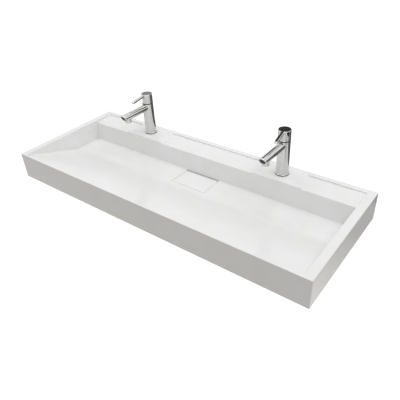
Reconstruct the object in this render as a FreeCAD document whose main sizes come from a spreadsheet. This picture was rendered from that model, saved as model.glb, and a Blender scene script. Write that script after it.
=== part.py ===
import FreeCAD, Part
import Sketcher
import math
import os
import re

# Wall-hung double washbasin: a cast slab with one wide sloping bowl, a rear deck with two raised tap
# platforms between three sunk trays, a lift-out drain cover, and two single-lever mixers.
# The frame's origin lies on the rear face, midway between the two wall bolts. +X runs to the right
# along the wall, +Y points into the wall, +Z is up. Each piece is drawn about its own reference point
# with heights counted from the deck, which is the slab's top face, and is then set in place.

# Driving sizes in millimetres and degrees.
SIZES = {
    # slab
    "basin_length": 1200,
    "basin_depth": 460,
    "basin_height": 100,
    "side_rim": 28,
    "rear_rim": 20,
    "deck_depth": 98,
    "bowl_depth": 80,
    "wall_draft": 11.5,
    "flat_depth": 112.5,
    "foot_radius": 4.5,
    "bend_radius": 110,
    "platform_width": 152,
    "platform_slope": 18,
    "lip_run": 16,
    "lip_drop": 5.5,
    "tray_rear_drop": 5,
    "tray_front_drop": 9,
    "edge_radius": 1.5,
    "casting_wall": 15,
    "ramp_thickness": 16,
    "deck_thickness": 22,
    "rear_wall": 18,
    # wall fixing
    "fixing_spacing": 700,
    "fixing_drop": 60,
    "bush_radius": 7.5,
    "bush_bore": 5.25,
    "bush_flange_radius": 14,
    "bush_flange": 3,
    # drain cover
    "cover_width": 144,
    "cover_depth": 87,
    "cover_thickness": 6,
    "cover_corner": 2,
    "cover_edge": 0.8,
    "cover_gap": 1.2,
    "cover_slot": 4.5,
    "pad_height": 7,
    "pad_radius": 5,
    "pad_inset": 12,
    # waste
    "waste_hole_radius": 23,
    "flange_radius": 33,
    "flange_thickness": 2.5,
    "flange_round": 1,
    "upper_seal": 1.5,
    "lower_seal": 3,
    "seal_rim": 1,
    "shank_radius": 22,
    "tail_radius": 20.95,
    "tail_bore": 17.5,
    "tail_length": 50,
    "slip_washer": 1.5,
    "waste_nut_flats": 52,
    "waste_nut_height": 11,
    "grid_radius": 19.5,
    "grid_thickness": 1.5,
    "grid_hole_radius": 3,
    "grid_ring_radius": 11.5,
    "bar_drop": 14,
    "bar_height": 8,
    "bar_width": 9,
    "grid_screw_radius": 2.9,
    "screw_head_radius": 5.5,
    "screw_head_height": 1.8,
    # mixer outside
    "tap_spacing": 592,
    "tap_setback": 56,
    "tap_hole_radius": 17.5,
    "ring_radius": 23.8,
    "ring_height": 5.5,
    "ring_round": 1.2,
    "base_seal_inset": 0.3,
    "base_seal_height": 3.2,
    "column_radius": 21.25,
    "column_height": 126,
    "spout_radius": 14,
    "spout_drop": 17,
    "spout_reach": 135,
    "spout_wall": 3.5,
    "nose_wall": 9,
    "nose_tilt": 28,
    "nose_round": 2,
    "nose_disc_radius": 11,
    "nose_disc_depth": 1.5,
    "tenon_radius": 7.5,
    "tenon_bore": 5.5,
    "aerator_radius": 12,
    "aerator_setback": 22,
    "aerator_boss": 3,
    "aerator_height": 5,
    "aerator_neck_radius": 10,
    "aerator_neck": 9,
    "aerator_bore": 8.4,
    "aerator_lip": 1.2,
    "insert_height": 8,
    "jet_radius": 0.9,
    "jet_pitch": 2.6,
    "aerator_seal": 1.5,
    # mixer handle
    "handle_height": 36,
    "joint_gap": 1,
    "handle_wall": 2.65,
    "roof_thickness": 10,
    "cap_round": 1.2,
    "cap_crown": 0.4,
    "boss_radius": 9.5,
    "boss_length": 16,
    "lift_range": 20,
    "lift_margin": 2,
    "lever_reach": 83,
    "lever_width": 12,
    "lever_thickness": 8,
    "lever_fall": 6,
    "lever_drop": 0.15,
    "lever_cove": 9,
    "cove_radius": 14.5,
    "lever_edge": 2.4,
    "left_lever_angle": 2,
    "right_lever_angle": 8.5,
    "grub_radius": 2.4,
    "plug_radius": 3,
    "plug_sink": 0.3,
    # mixer inside
    "spigot_radius": 15,
    "spigot_drop": 8,
    "chamber_radius": 15.5,
    "chamber_depth": 44,
    "nut_bore": 17,
    "seat_drop": 9,
    "inlet_radius": 4.5,
    "inlet_depth": 15,
    "inlet_spread": 7.5,
    "inlet_back": 5,
    "passage_radius": 3,
    "cartridge_radius": 13,
    "cartridge_bore": 11,
    "cartridge_flange": 3,
    "disc_drop": 28,
    "disc_height": 5,
    "outlet_radius": 3,
    "outlet_front": 5.5,
    "moving_disc_radius": 7.5,
    "moving_disc_height": 7,
    "mixing_hollow": 1.5,
    "ball_pocket": 4.3,
    "ball_clearance": 0.6,
    "ball_radius": 3.4,
    "ball_drop": 16,
    "arm_radius": 3,
    "stem_width": 9,
    "stem_below_pivot": 5,
    "stem_above_pivot": 24,
    "rotor_height": 6,
    "rotor_sink": 1,
    "ear_radius": 5,
    "ear_thickness": 3.5,
    "pin_radius": 2,
    "nut_inner_radius": 10.4,
    "dome_radius": 18,
    "dome_foot": 2,
    "dome_wall": 3,
    "dome_cut_angle": 60,
    # mixer fixing
    "stud_radius": 3.9,
    "stud_offset": 8.5,
    "stud_hole_depth": 15,
    "stud_length": 72,
    "clamp_radius": 24,
    "clamp_slot": 27,
    "clamp_seal": 2,
    "clamp_plate": 2.5,
    "clamp_nut_flats": 13,
    "clamp_nut_height": 10,
    # fits
    "fit_gap": 0.1,
    "run_gap": 0.06,
    "seat_gap": 0.2,
    "clear_gap": 0.3,
}

# How far a cut runs past the face it opens, in millimetres.
OVERRUN = "5"
# How near two places count as the same, in millimetres.
SAME = 1e-3
AXES = {"x": FreeCAD.Vector(1, 0, 0), "z": FreeCAD.Vector(0, 0, 1)}
GRID_HOLE_COUNT = 8
FIRST_CIRCLE_JET_COUNT = 6
JET_CIRCLE_COUNT = 2

# Places worked out from the driving sizes, as expressions.
RAMP_RUN = "(basin_depth - deck_depth - wall_draft - flat_depth)"
RAMP_SLOPE = f"(bowl_depth / {RAMP_RUN})"
WALL_FOOT = "(deck_depth + wall_draft)"
WALL_LEAN = "(wall_draft / bowl_depth)"
TRAY_TILT = "atan((tray_front_drop - tray_rear_drop) / (deck_depth - rear_rim))"
PLATFORM_INNER = "(tap_spacing / 2 - platform_width / 2)"
PLATFORM_OUTER = "(tap_spacing / 2 + platform_width / 2)"
TRAY_RUN = "(platform_slope / tray_front_drop)"
LIP_BACK = "(deck_depth - lip_run)"
LIP_SLOPE = "(lip_drop / lip_run)"
CHANNEL_FRONT = "(deck_depth - casting_wall)"
RECESS_DEPTH = "(cover_thickness + pad_height + seat_gap)"
RECESS_FLOOR = f"(bowl_depth + {RECESS_DEPTH})"
RECESS_FRONT = f"({WALL_FOOT} + cover_slot + cover_depth + cover_gap)"
DRAIN_SETBACK = f"({WALL_FOOT} + cover_slot + cover_depth / 2)"
FLANGE_FOOT = f"({RECESS_FLOOR} - upper_seal)"
FLANGE_TOP = f"({FLANGE_FOOT} - flange_thickness)"
GRID_SEAT = f"({FLANGE_TOP} + grid_thickness)"
NUT_FOOT = "(basin_height + lower_seal + slip_washer + waste_nut_height)"
SEAL_BORE = "(shank_radius + fit_gap)"
BAR_TOP = f"({GRID_SEAT} + bar_drop)"
RING_BORE = "(spigot_radius + fit_gap)"
SPOUT_HEIGHT = "(column_height - spout_drop)"
CHAMBER_FLOOR = "(column_height - chamber_depth)"
SEAT_HEIGHT = "(column_height - seat_drop)"
DISC_SEAT = "(column_height - disc_drop)"
NOSE_RUN = "(spout_radius * tan(nose_tilt))"
AERATOR_FACE = f"({SPOUT_HEIGHT} - spout_radius - aerator_boss)"
AERATOR_REACH = "(spout_reach - aerator_setback)"
AERATOR_FOOT = f"({AERATOR_FACE} - aerator_height)"
CARTRIDGE_TOP = f"({SEAT_HEIGHT} + cartridge_flange)"
NUT_FIT = "(nut_bore - fit_gap)"
DISC_TOP = f"({DISC_SEAT} + disc_height)"
MOVING_FOOT = f"({DISC_TOP} + clear_gap)"
STROKE = "(ball_drop * tan(lift_range))"
ROTOR_TOP = f"({CARTRIDGE_TOP} - rotor_sink)"
EAR_INNER = "(stem_width / 2 + clear_gap)"
EAR_OUTER = f"({EAR_INNER} + ear_thickness)"
PIN_HOLE = "(pin_radius + run_gap)"
HANDLE_FOOT = "(column_height + joint_gap)"
HANDLE_TOP = "(column_height + handle_height)"
CEILING = f"({HANDLE_TOP} - roof_thickness)"
CAVITY = "(column_radius - handle_wall)"
BOSS_FOOT = f"({CEILING} - boss_length)"
GRUB_HEIGHT = f"({CEILING} - boss_length / 2)"
RELIEF_REACH = f"(column_radius + {OVERRUN})"
RELIEF_TAN = "tan(lift_range + lift_margin)"
LEVER_TIP = f"({HANDLE_TOP} - lever_drop - lever_fall)"
LEVER_ROOT = f"({HANDLE_TOP} - lever_drop)"
LEVER_SLOPE = "(lever_fall / (lever_reach - lever_thickness / 2 - column_radius))"
STUD_HEAD = "(stud_hole_depth - spigot_drop - seat_gap)"
CLAMP_FOOT = "(deck_thickness + clamp_seal + clamp_plate)"
SIGNS = ("-", "")
PASSAGES = [(f"{sign}inlet_spread", "inlet_back", "passage_radius") for sign in SIGNS]
FIXING_CENTRES = [f"{sign}fixing_spacing / 2" for sign in SIGNS]

doc = FreeCAD.newDocument("washbasin")
sheet = doc.addObject("Spreadsheet::Sheet", "dims")
for row, (alias, size) in enumerate(SIZES.items(), start=1):
    sheet.set(f"A{row}", alias)
    sheet.set(f"B{row}", str(size))
    sheet.setAlias(f"B{row}", alias)
doc.recompute()

parts = {}


def bound(expression):
    """Point each size named in an expression at its cell."""
    def cell(word):
        return f"dims.{word[0]}" if word[0] in SIZES else word[0]

    return re.sub(r"[a-z]\w*", cell, expression)


def value(expression):
    """Number that an expression gives now."""
    result = sheet.evalExpression(bound(expression))
    return float(getattr(result, "Value", result))


def minus(expression):
    return f"-({expression})"


def new_body(label):
    """Start one sub-part, which may hold several like solids."""
    body = doc.addObject("PartDesign::Body", label)
    body.Label = label
    body.AllowCompound = True
    parts[label] = body
    return body


def origin_plane(body, plane):
    return next(item for item in body.Origin.OriginFeatures if item.Role == f"{plane}_Plane")


def new_sketch(body, plane, offset="0"):
    """Sketch on an origin plane of the body, moved along the plane's normal."""
    sketch = body.newObject("Sketcher::SketchObject", f"{body.Name}_sketch")
    sketch.AttachmentSupport = [(origin_plane(body, plane), "")]
    sketch.MapMode = "FlatFace"
    sketch.setExpression("AttachmentOffset.Base.z", bound(offset))
    return sketch


def leaning_sketch(body, rise, offset, tilt):
    """Sketch that faces forward from a raised place and leans about its own X axis."""
    sketch = new_sketch(body, "XZ", offset)
    leaning = FreeCAD.Rotation(FreeCAD.Vector(1, 0, 0), value(tilt))
    sketch.AttachmentOffset = FreeCAD.Placement(FreeCAD.Vector(), leaning)
    sketch.setExpression("AttachmentOffset.Base.y", bound(rise))
    sketch.setExpression("AttachmentOffset.Base.z", bound(offset))
    sketch.setExpression("AttachmentOffset.Rotation.Angle", bound(tilt))
    return sketch


def pin_point(sketch, geometry, point, x, y):
    """Hold a point of the sketch at the place that two expressions give."""
    for kind, axis, expression in (("DistanceX", -2, x), ("DistanceY", -1, y)):
        if expression == "0":
            sketch.addConstraint(Sketcher.Constraint("PointOnObject", geometry, point, axis))
            continue
        at = sketch.addConstraint(Sketcher.Constraint(kind, -1, 1, geometry, point, value(expression)))
        sketch.setExpression(f"Constraints[{at}]", bound(expression))


def add_circle(sketch, x, y, radius):
    centre = FreeCAD.Vector(value(x), value(y), 0)
    circle = Part.Circle(centre, FreeCAD.Vector(0, 0, 1), value(radius))
    index = sketch.addGeometry(circle, False)
    pin_point(sketch, index, 3, x, y)
    at = sketch.addConstraint(Sketcher.Constraint("Radius", index, value(radius)))
    sketch.setExpression(f"Constraints[{at}]", bound(radius))


def arc_between(start, end, radius):
    """Arc that turns left on its way from start to end and bends by less than a half circle."""
    chord = end - start
    middle = (start + end) * 0.5
    rise = math.sqrt(radius ** 2 - (chord.Length / 2) ** 2)
    left = FreeCAD.Vector(-chord.y, chord.x, 0).normalize()
    centre = middle + left * rise
    first = math.atan2(start.y - centre.y, start.x - centre.x)
    last = math.atan2(end.y - centre.y, end.x - centre.x)
    return Part.ArcOfCircle(Part.Circle(centre, FreeCAD.Vector(0, 0, 1), radius), first, last)


def add_outline(sketch, corners):
    """Closed outline through corners (x, y). A third entry is the radius of the arc to the next corner,
    which turns left, or right where the entry starts with a minus sign."""
    places = [FreeCAD.Vector(value(corner[0]), value(corner[1]), 0) for corner in corners]
    ends = []
    for here, corner in enumerate(corners):
        start = places[here]
        end = places[(here + 1) % len(corners)]
        if len(corner) == 2:
            index = sketch.addGeometry(Part.LineSegment(start, end), False)
            ends.append((index, 1, 2))
            continue
        turns_right = corner[2].startswith("-")
        radius = corner[2].lstrip("-")
        if turns_right:
            start, end = end, start
        index = sketch.addGeometry(arc_between(start, end, value(radius)), False)
        ends.append((index, 2, 1) if turns_right else (index, 1, 2))
        at = sketch.addConstraint(Sketcher.Constraint("Radius", index, value(radius)))
        sketch.setExpression(f"Constraints[{at}]", bound(radius))
    for here, (index, first, last) in enumerate(ends):
        following, following_first, _ = ends[(here + 1) % len(ends)]
        sketch.addConstraint(Sketcher.Constraint("Coincident", index, last, following, following_first))
        pin_point(sketch, index, first, *corners[here][:2])


def add_rectangle(sketch, left, right, low, high):
    add_outline(sketch, [(left, low), (right, low), (right, high), (left, high)])


def extrude(kind, body, sketch, length, backwards=False, both_ways=False):
    """Pad or Pocket of a sketch; a Pocket checks that it took material away."""
    before = body.Shape.Volume if kind == "Pocket" else 0
    feature = body.newObject(f"PartDesign::{kind}", f"{body.Name}_{kind.lower()}")
    feature.Profile = sketch
    feature.setExpression("Length", bound(length))
    feature.Reversed = backwards
    feature.SideType = "Symmetric" if both_ways else "One side"
    doc.recompute()
    if kind == "Pocket" and body.Shape.Volume >= before:
        raise RuntimeError(f"{body.Label}: a pocket cut nothing")
    return feature


def pad(body, sketch, length, **sides):
    return extrude("Pad", body, sketch, length, **sides)


def pocket(body, sketch, length, **sides):
    return extrude("Pocket", body, sketch, length, **sides)


def drill(body, plane, offset, circles, length, **sides):
    """Round holes, given as (x, y, radius), cut along the plane's normal."""
    sketch = new_sketch(body, plane, offset)
    for circle in circles:
        add_circle(sketch, *circle)
    return pocket(body, sketch, length, **sides)


def around(circle_radius, count, radius):
    """Round holes spaced evenly on a circle, as (x, y, radius)."""
    angles = [2 * math.pi * step / count for step in range(count)]
    turns = [(f"{math.cos(angle):.6f}", f"{math.sin(angle):.6f}") for angle in angles]
    return [(f"{circle_radius} * {x}", f"{circle_radius} * {y}", radius) for x, y in turns]


def revolve(body, profile):
    """Turn a profile of (radius, height) about the body's upright axis."""
    sketch = new_sketch(body, "XZ")
    add_outline(sketch, profile)
    revolution = body.newObject("PartDesign::Revolution", f"{body.Name}_revolution")
    revolution.Profile = sketch
    revolution.ReferenceAxis = (sketch, ["V_Axis"])
    revolution.Angle = 360
    doc.recompute()


def turned(label, profile):
    """Sub-part that starts as a piece of revolution."""
    body = new_body(label)
    revolve(body, profile)
    return body


def ring(label, inner, outer, low, high):
    return turned(label, [(inner, low), (outer, low), (outer, high), (inner, high)])


def rounded(body, radius, chosen):
    """Fillet on the edges of the body that a test picks out."""
    base = body.Tip
    names = [f"Edge{at}" for at, edge in enumerate(base.Shape.Edges, start=1) if chosen(edge)]
    fillet = body.newObject("PartDesign::Fillet", f"{body.Name}_fillet")
    fillet.Base = (base, names)
    fillet.setExpression("Radius", bound(radius))
    doc.recompute()


def runs_along(edge, axis):
    """True for a straight edge that lies along one axis."""
    if edge.Degenerated or edge.Curve.TypeId != "Part::GeomLine":
        return False
    return edge.Curve.Direction.cross(AXES[axis]).Length < SAME


def place(part, x="0", y="0", rise="0", turn="0"):
    """Set a piece in the shared frame; rise is its height over the deck."""
    part.setExpression("Placement.Base.x", bound(x))
    part.setExpression("Placement.Base.y", bound(y))
    part.setExpression("Placement.Base.z", bound(f"fixing_drop + {rise}"))
    part.setExpression("Placement.Rotation.Angle", bound(turn))


def hex_nut(label, flats, bore, height):
    """Plain hexagon nut standing on its own base plane."""
    prism = doc.addObject("Part::Prism", f"{label}_blank")
    prism.Polygon = 6
    prism.setExpression("Circumradius", bound(f"{flats} / sqrt(3)"))
    prism.setExpression("Height", bound(height))
    hole = doc.addObject("Part::Cylinder", f"{label}_bore")
    hole.setExpression("Radius", bound(bore))
    hole.setExpression("Height", bound(height))
    nut = doc.addObject("Part::Cut", label)
    nut.Base = prism
    nut.Tool = hole
    nut.Label = label
    parts[label] = nut
    return nut


def deck_edge(edge):
    """True for the outward edges round the trays: along the rear rim, the platforms and the bowl."""
    if edge.Degenerated:
        return False
    points = [vertex.Point for vertex in edge.Vertexes]
    behind_bowl = all(point.y > -value(WALL_FOOT) for point in points)
    within_rims = all(abs(point.x) < value("basin_length / 2 - side_rim") + SAME for point in points)
    before_rim = all(point.y < -value("rear_rim") + SAME for point in points)
    if not (behind_bowl and within_rims and before_rim):
        return False
    level = all(abs(point.z) < SAME for point in points)
    lip_back = value(LIP_BACK)
    lip_slope = value(LIP_SLOPE)
    on_lip = all(abs(point.z - lip_slope * (point.y + lip_back)) < SAME for point in points)
    lean = value(WALL_LEAN)
    on_wall = all(abs(point.y + value("deck_depth") - lean * point.z) < SAME for point in points)
    above_foot = all(point.z > -value("bowl_depth / 2") for point in points)
    return level or on_lip or (on_wall and above_foot)


def make_basin():
    """Cast slab: deck, bowl and holes are cut from a block whose outer edges are eased first."""
    body = new_body("basin_body")
    half_length = "basin_length / 2"
    block = new_sketch(body, "XY")
    add_rectangle(block, minus(half_length), half_length, "-basin_depth", "0")
    pad(body, block, "basin_height", backwards=True)
    rounded(body, "edge_radius", lambda edge: True)

    # Sunk deck: one strip between the rims, falling towards the front.
    sunk = leaning_sketch(body, "0", "rear_rim", TRAY_TILT)
    rim_inside = "(basin_length / 2 - side_rim)"
    add_rectangle(sunk, minus(rim_inside), rim_inside, "-tray_rear_drop", "tray_front_drop")
    pocket(body, sunk, f"{WALL_FOOT} - rear_rim + {OVERRUN}", backwards=True)

    # Tap platforms: level blocks with sloped ends, which part the sunk deck into three trays.
    platforms = new_sketch(body, "XZ", f"rear_rim - {OVERRUN}")
    root = f"(tray_front_drop + {OVERRUN})"
    spread = f"({TRAY_RUN} * {root})"
    for sign in SIGNS:
        add_outline(platforms, [
            (f"{sign}({PLATFORM_INNER} - {spread})", minus(root)),
            (f"{sign}({PLATFORM_OUTER} + {spread})", minus(root)),
            (f"{sign}{PLATFORM_OUTER}", "0"),
            (f"{sign}{PLATFORM_INNER}", "0"),
        ])
    pad(body, platforms, f"{WALL_FOOT} - rear_rim + 2 * {OVERRUN}")

    # Bowl: ramp down from the front edge, flat bottom, drafted rear wall, with the bends eased.
    bowl = new_sketch(body, "YZ")
    flat_front = f"({WALL_FOOT} + flat_depth)"
    add_outline(bowl, [
        (f"-(basin_depth + {OVERRUN})", f"{OVERRUN} * {RAMP_SLOPE}"),
        (minus(flat_front), "-bowl_depth"),
        (minus(WALL_FOOT), "-bowl_depth"),
        (f"-(deck_depth - {WALL_LEAN} * {OVERRUN})", OVERRUN),
        (f"-(basin_depth + {OVERRUN})", OVERRUN),
    ])
    pocket(body, bowl, "basin_length - 2 * side_rim", both_ways=True)
    floor = -value("bowl_depth")
    for radius, setback in (("foot_radius", WALL_FOOT), ("bend_radius", flat_front)):
        bend = -value(setback)
        rounded(body, radius, lambda edge: runs_along(edge, "x")
                and abs(edge.CenterOfMass.y - bend) < SAME and abs(edge.CenterOfMass.z - floor) < SAME)

    # Lip: the front strip of each platform falls towards the bowl.
    lip = new_sketch(body, "YZ")
    lip_front = f"-(deck_depth + {OVERRUN})"
    add_outline(lip, [
        (minus(LIP_BACK), "0"),
        (lip_front, f"-{LIP_SLOPE} * (lip_run + {OVERRUN})"),
        (lip_front, OVERRUN),
        (minus(LIP_BACK), OVERRUN),
    ])
    pocket(body, lip, f"2 * ({PLATFORM_OUTER} + platform_slope)", both_ways=True)
    rounded(body, "edge_radius", deck_edge)

    # Underside: an open channel below the deck and a wedge-shaped hollow below the ramp.
    hollow_length = "basin_length - 2 * casting_wall"
    channel = new_sketch(body, "YZ")
    below = f"-(basin_height + {OVERRUN})"
    add_rectangle(channel, minus(CHANNEL_FRONT), "-rear_wall", below, "-deck_thickness")
    pocket(body, channel, hollow_length, both_ways=True)
    wedge = new_sketch(body, "YZ")
    wedge_front = "-(basin_depth - casting_wall)"
    wedge_back = f"(basin_height + {OVERRUN} - ramp_thickness) / {RAMP_SLOPE}"
    add_outline(wedge, [
        (wedge_front, below),
        (f"-basin_depth + {wedge_back}", below),
        (wedge_front, f"-casting_wall * {RAMP_SLOPE} - ramp_thickness"),
    ])
    pocket(body, wedge, hollow_length, both_ways=True)

    # Drain recess below the cover, and the waste hole.
    recess = new_sketch(body, "XY", "foot_radius - bowl_depth")
    recess_half = "(cover_width / 2 + cover_gap)"
    add_rectangle(recess, minus(recess_half), recess_half, minus(RECESS_FRONT), minus(WALL_FOOT))
    pocket(body, recess, f"foot_radius + {RECESS_DEPTH}")
    waste_hole = ("0", minus(DRAIN_SETBACK), "waste_hole_radius")
    drill(body, "XY", "0", [waste_hole], f"basin_height + {OVERRUN}")

    # Tap holes through the platforms and bolt holes through the rear wall.
    tap_holes = [(f"{sign}tap_spacing / 2", "-tap_setback", "tap_hole_radius") for sign in SIGNS]
    drill(body, "XY", OVERRUN, tap_holes, f"deck_thickness + 2 * {OVERRUN}")
    bolt_holes = [(centre, "-fixing_drop", "bush_radius + fit_gap") for centre in FIXING_CENTRES]
    drill(body, "XZ", minus(OVERRUN), bolt_holes, f"rear_wall + 2 * {OVERRUN}", backwards=True)
    place(body)


def make_bushes():
    """Plastic bushes in the bolt holes, flanged on the inside of the rear wall."""
    body = new_body("wall_bushes")
    steps = (("0", "bush_radius", "rear_wall"), ("rear_wall", "bush_flange_radius", "bush_flange"))
    for start, radius, length in steps:
        sketch = new_sketch(body, "XZ", start)
        for centre in FIXING_CENTRES:
            add_circle(sketch, centre, "-fixing_drop", radius)
            add_circle(sketch, centre, "-fixing_drop", "bush_bore")
        pad(body, sketch, length)
    place(body)


def make_cover():
    """Loose plate over the drain, on four rubber pads."""
    body = new_body("drain_cover")
    half_width = "cover_width / 2"
    half_depth = "cover_depth / 2"
    plate = new_sketch(body, "XY", "-bowl_depth")
    add_rectangle(plate, minus(half_width), half_width, minus(half_depth), half_depth)
    pad(body, plate, "cover_thickness", backwards=True)
    rounded(body, "cover_corner", lambda edge: runs_along(edge, "z"))
    top = -value("bowl_depth")
    rounded(body, "cover_edge", lambda edge: abs(edge.CenterOfMass.z - top) < SAME)
    place(body, y=minus(DRAIN_SETBACK))

    pads = new_body("cover_pads")
    sketch = new_sketch(pads, "XY", "-(bowl_depth + cover_thickness)")
    for across in SIGNS:
        for along in SIGNS:
            x = f"{across}({half_width} - pad_inset)"
            y = f"{along}({half_depth} - pad_inset)"
            add_circle(sketch, x, y, "pad_radius")
    pad(pads, sketch, "pad_height", backwards=True)
    place(pads, y=minus(DRAIN_SETBACK))


def make_waste():
    """Grid waste clamped through the drain recess by a nut from below."""
    tail_foot = minus(f"{NUT_FOOT} + tail_length")
    body = turned("waste_body", [
        ("tail_bore", tail_foot),
        ("tail_radius", tail_foot),
        ("tail_radius", minus(NUT_FOOT)),
        ("shank_radius", minus(NUT_FOOT)),
        ("shank_radius", minus(FLANGE_FOOT)),
        ("flange_radius", minus(FLANGE_FOOT)),
        ("flange_radius", minus(f"{FLANGE_TOP} + flange_round"), "flange_round"),
        ("flange_radius - flange_round", minus(FLANGE_TOP)),
        ("grid_radius + fit_gap", minus(FLANGE_TOP)),
        ("grid_radius + fit_gap", minus(GRID_SEAT)),
        ("tail_bore", minus(GRID_SEAT)),
    ])
    bar = new_sketch(body, "XY", minus(BAR_TOP))
    bar_half = "((tail_bore + tail_radius) / 2)"
    add_rectangle(bar, minus(bar_half), bar_half, "-bar_width / 2", "bar_width / 2")
    pad(body, bar, "bar_height", backwards=True)
    screw_hole = ("0", "0", "grid_screw_radius + fit_gap")
    drill(body, "XY", minus(BAR_TOP), [screw_hole], f"bar_height + {OVERRUN}")

    grid = turned("waste_grid", [
        ("0", minus(GRID_SEAT)),
        ("grid_radius", minus(GRID_SEAT)),
        ("grid_radius", minus(FLANGE_TOP)),
        ("0", minus(FLANGE_TOP)),
    ])
    holes = around("grid_ring_radius", GRID_HOLE_COUNT, "grid_hole_radius")
    drill(grid, "XY", minus(FLANGE_TOP), [screw_hole, *holes], f"grid_thickness + {OVERRUN}")

    turned("grid_screw", [
        ("0", minus(f"{BAR_TOP} + bar_height")),
        ("grid_screw_radius", minus(f"{BAR_TOP} + bar_height")),
        ("grid_screw_radius", minus(FLANGE_TOP)),
        ("screw_head_radius", minus(FLANGE_TOP)),
        ("screw_head_radius", minus(f"{FLANGE_TOP} - screw_head_height")),
        ("0", minus(f"{FLANGE_TOP} - screw_head_height")),
    ])
    seal_edge = "flange_radius - seal_rim"
    ring("waste_upper_seal", SEAL_BORE, seal_edge, minus(RECESS_FLOOR), minus(FLANGE_FOOT))
    ring("waste_lower_seal", SEAL_BORE, seal_edge, "-(basin_height + lower_seal)", "-basin_height")
    ring("waste_washer", SEAL_BORE, seal_edge, "-(basin_height + lower_seal + slip_washer)",
         "-(basin_height + lower_seal)")
    nut = hex_nut("waste_nut", "waste_nut_flats", SEAL_BORE, "waste_nut_height")
    seals = ["waste_upper_seal", "waste_lower_seal", "waste_washer"]
    for label in ["waste_body", "waste_grid", "grid_screw", *seals]:
        place(parts[label], y=minus(DRAIN_SETBACK))
    place(nut, y=minus(DRAIN_SETBACK), rise=minus(NUT_FOOT))


def make_column(side):
    """Mixer column on its base ring and gasket; two bores bring water up to the cartridge chamber."""
    body = turned(f"{side}_tap_body", [
        ("0", "-spigot_drop"),
        ("spigot_radius", "-spigot_drop"),
        ("spigot_radius", "ring_height"),
        ("column_radius", "ring_height"),
        ("column_radius", "column_height"),
        ("nut_bore", "column_height"),
        ("nut_bore", SEAT_HEIGHT),
        ("chamber_radius", SEAT_HEIGHT),
        ("chamber_radius", CHAMBER_FLOOR),
        ("0", CHAMBER_FLOOR),
    ])
    sockets = [(f"{sign}inlet_spread", "inlet_back", "inlet_radius") for sign in SIGNS]
    drill(body, "XY", "-spigot_drop", sockets, "inlet_depth", backwards=True)
    rise = f"spigot_drop + {CHAMBER_FLOOR} + {OVERRUN}"
    drill(body, "XY", "-spigot_drop", PASSAGES, rise, backwards=True)
    stud_hole = ("0", "-stud_offset", "stud_radius + fit_gap")
    drill(body, "XY", "-spigot_drop", [stud_hole], "stud_hole_depth", backwards=True)
    spout_hole = ("0", SPOUT_HEIGHT, "tenon_radius + fit_gap")
    drill(body, "XZ", "0", [spout_hole], f"column_radius + {OVERRUN}", backwards=True)

    turned(f"{side}_base_ring", [
        (RING_BORE, "base_seal_height"),
        ("ring_radius", "base_seal_height"),
        ("ring_radius", "ring_height - ring_round", "ring_round"),
        ("ring_radius - ring_round", "ring_height"),
        (RING_BORE, "ring_height"),
    ])
    ring(f"{side}_base_seal", RING_BORE, "ring_radius - base_seal_inset", "0", "base_seal_height")
    return ["tap_body", "base_ring", "base_seal"]


def make_spout(side):
    """Round spout that butts against the column, with a tenon into its chamber, an aerator boss and a
    slanted end that holds a dark disc."""
    body = new_body(f"{side}_spout")
    tube = new_sketch(body, "XZ")
    add_circle(tube, "0", SPOUT_HEIGHT, "spout_radius")
    pad(body, tube, f"spout_reach + 2 * {NOSE_RUN}")
    slant = leaning_sketch(body, SPOUT_HEIGHT, "spout_reach", "nose_tilt")
    add_circle(slant, "0", "0", "2 * spout_radius")
    pocket(body, slant, f"4 * {NOSE_RUN}", backwards=True)
    nose = -value("spout_reach")
    rounded(body, "nose_round", lambda edge: abs(edge.CenterOfMass.y - nose) < SAME)
    seat = leaning_sketch(body, SPOUT_HEIGHT, "spout_reach", "nose_tilt")
    add_circle(seat, "0", "0", "nose_disc_radius + fit_gap")
    pocket(body, seat, "nose_disc_depth")
    disc = new_body(f"{side}_nose_disc")
    face = leaning_sketch(disc, SPOUT_HEIGHT, "spout_reach", "nose_tilt")
    add_circle(face, "0", "0", "nose_disc_radius")
    pad(disc, face, "nose_disc_depth", backwards=True)
    boss = new_sketch(body, "XY", AERATOR_FACE)
    add_circle(boss, "0", minus(AERATOR_REACH), "aerator_radius")
    pad(body, boss, "spout_radius + aerator_boss")
    drill(body, "XY", "0", [("0", "0", "column_radius + fit_gap")], "column_height", backwards=True)
    tenon = new_sketch(body, "XZ", "chamber_radius")
    add_circle(tenon, "0", SPOUT_HEIGHT, "tenon_radius")
    pad(body, tenon, "column_radius - chamber_radius + spout_wall")
    water_bore = ("0", SPOUT_HEIGHT, "spout_radius - spout_wall")
    water_length = "spout_reach - nose_wall - column_radius - spout_wall"
    drill(body, "XZ", "column_radius + spout_wall", [water_bore], water_length, backwards=True)
    tenon_hole = ("0", SPOUT_HEIGHT, "tenon_bore")
    drill(body, "XZ", "0", [tenon_hole], "column_radius + 2 * spout_wall", backwards=True)
    neck_hole = ("0", minus(AERATOR_REACH), "aerator_neck_radius + fit_gap")
    drill(body, "XY", AERATOR_FACE, [neck_hole], "spout_radius + aerator_boss", backwards=True)
    return ["spout", "nose_disc"]


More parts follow.
